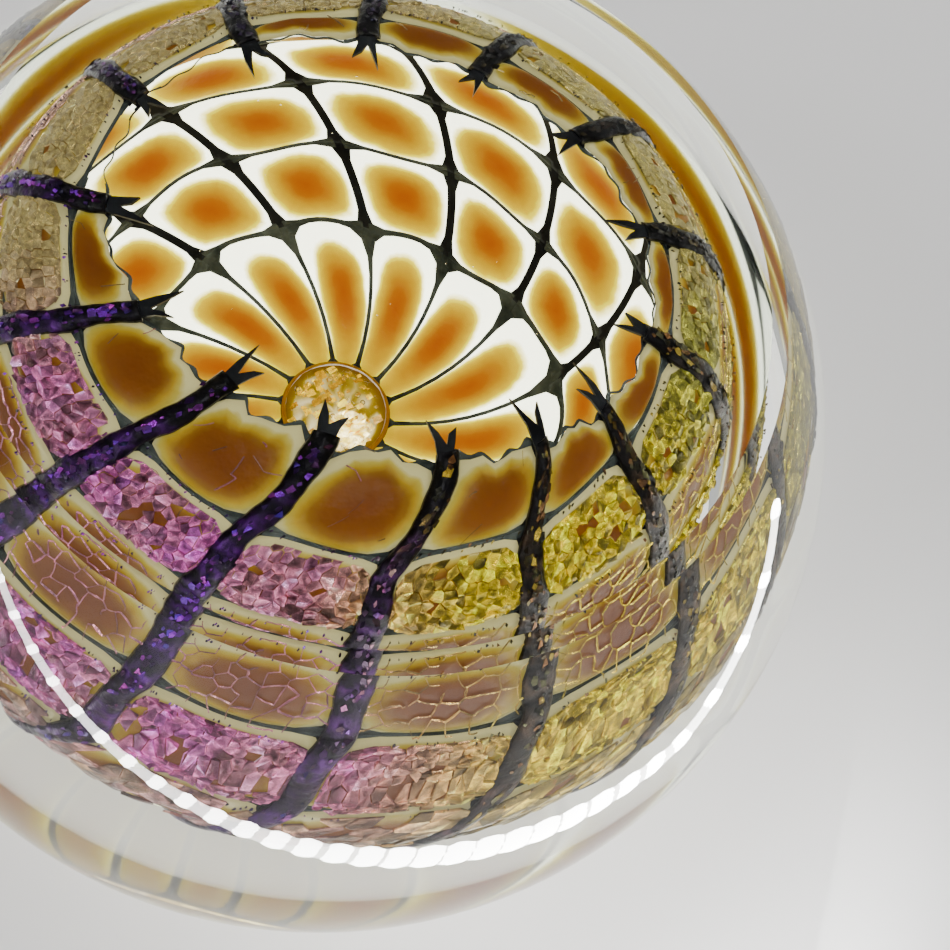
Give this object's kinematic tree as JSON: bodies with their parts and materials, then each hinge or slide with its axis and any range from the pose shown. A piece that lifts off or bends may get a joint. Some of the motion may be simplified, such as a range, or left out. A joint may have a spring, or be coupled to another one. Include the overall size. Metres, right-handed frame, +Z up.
{
  "type": "art glass bowl",
  "caption": "Massive round clear glass bowl form with a polished, barely hollowed top, holding a spiral pot of amber glass cells, black ribs and crackled film.",
  "frame": {"origin": "centre of the flat foot, on the surface it stands on", "axes": "+Z up through the centre of the polished top, +Y away from the side that is seen nearest"},
  "size_m": [0.092, 0.092, 0.057],
  "materials": {
    "clear_glass": "polished",
    "boss_glass": "polished",
    "gold_foil": "crumpled foil",
    "cell_glass": "translucent",
    "amber_glass": "translucent",
    "dark_glass": "translucent",
    "black_glass": "polished",
    "film_green": "crackled iridescent film",
    "film_pink": "crackled iridescent film",
    "film_gold": "crackled iridescent film"
  },
  "bodies": {
    "root": {"clear_casing": "clear_glass", "clear_core": "clear_glass", "centre_boss": "boss_glass", "gold_flakes": "gold_foil", "cells_row_1": "cell_glass", "cells_row_2": "cell_glass", "cells_row_3": "cell_glass", "cells_row_4": "cell_glass", "cells_row_5": "cell_glass", "cells_row_6": "cell_glass", "cells_row_7": "cell_glass", "cells_row_8": "cell_glass", "amber_row_1": "amber_glass", "amber_row_2": "amber_glass", "amber_row_3": "amber_glass", "amber_row_4": "amber_glass", "amber_row_5": "amber_glass", "amber_row_6": "amber_glass", "amber_row_7": "amber_glass", "amber_row_8": "amber_glass", "film_row_4": "film_green", "film_row_5": "film_green", "film_row_6": "film_pink", "film_row_7": "film_pink", "film_row_8": "film_gold", "petal_lines": "dark_glass", "spiral_ribs": "black_glass", "ring_threads": "dark_glass", "torn_tips": "black_glass"}
  },
  "joints": []
}
